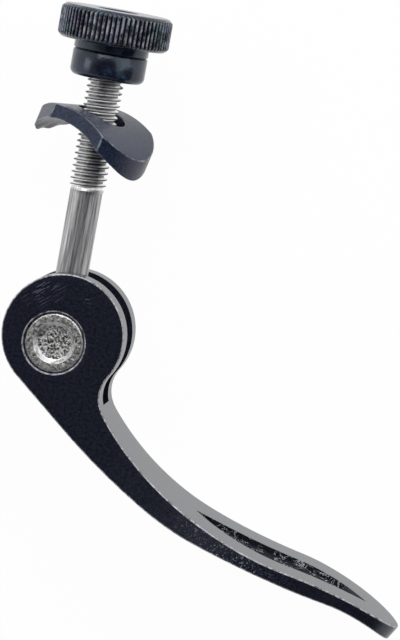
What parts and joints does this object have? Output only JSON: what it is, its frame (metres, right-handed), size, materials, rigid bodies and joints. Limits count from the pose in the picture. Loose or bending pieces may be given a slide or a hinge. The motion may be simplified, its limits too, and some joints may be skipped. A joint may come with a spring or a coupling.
{
  "type": "cam lever",
  "caption": "Black quick-release cam lever with a leaf-shaped handle, steel stud, loose saddle washer and knurled thumb nut.",
  "frame": {"origin": "where the stud's axis crosses the lever's pivot axis, at the middle of the barrel", "axes": "+Y along the stud towards the thumb nut, +Z along the pivot axis, handle towards +X"},
  "size_m": [0.0731, 0.0916, 0.0254],
  "materials": {
    "lever_black": "satin black anodised, finely scratched",
    "steel": "bright turned steel",
    "washer_black": "blue-black plated, semi-gloss",
    "nut_black": "black plated, semi-gloss"
  },
  "bodies": {
    "stud": {"stud": "steel", "pivot_barrel": "steel"},
    "lever": {"cam_lever": "lever_black"},
    "washer": {"saddle_washer": "washer_black"},
    "nut": {"thumb_nut": "nut_black"}
  },
  "joints": [
    {"name": "lever_pivot", "type": "hinge", "parent": "stud", "child": "lever", "pos_m": [0, 0, 0], "axis": [0, 0, 1], "range_deg": [-165, 90]},
    {"name": "washer_slide", "type": "slide", "parent": "stud", "child": "washer", "axis": [0, 1, 0], "range_m": [-0.0165, 0.0045]},
    {"name": "thumb_nut_turn", "type": "hinge", "parent": "stud", "child": "nut", "pos_m": [0, 0, 0], "axis": [0, 1, 0], "continuous": true}
  ]
}
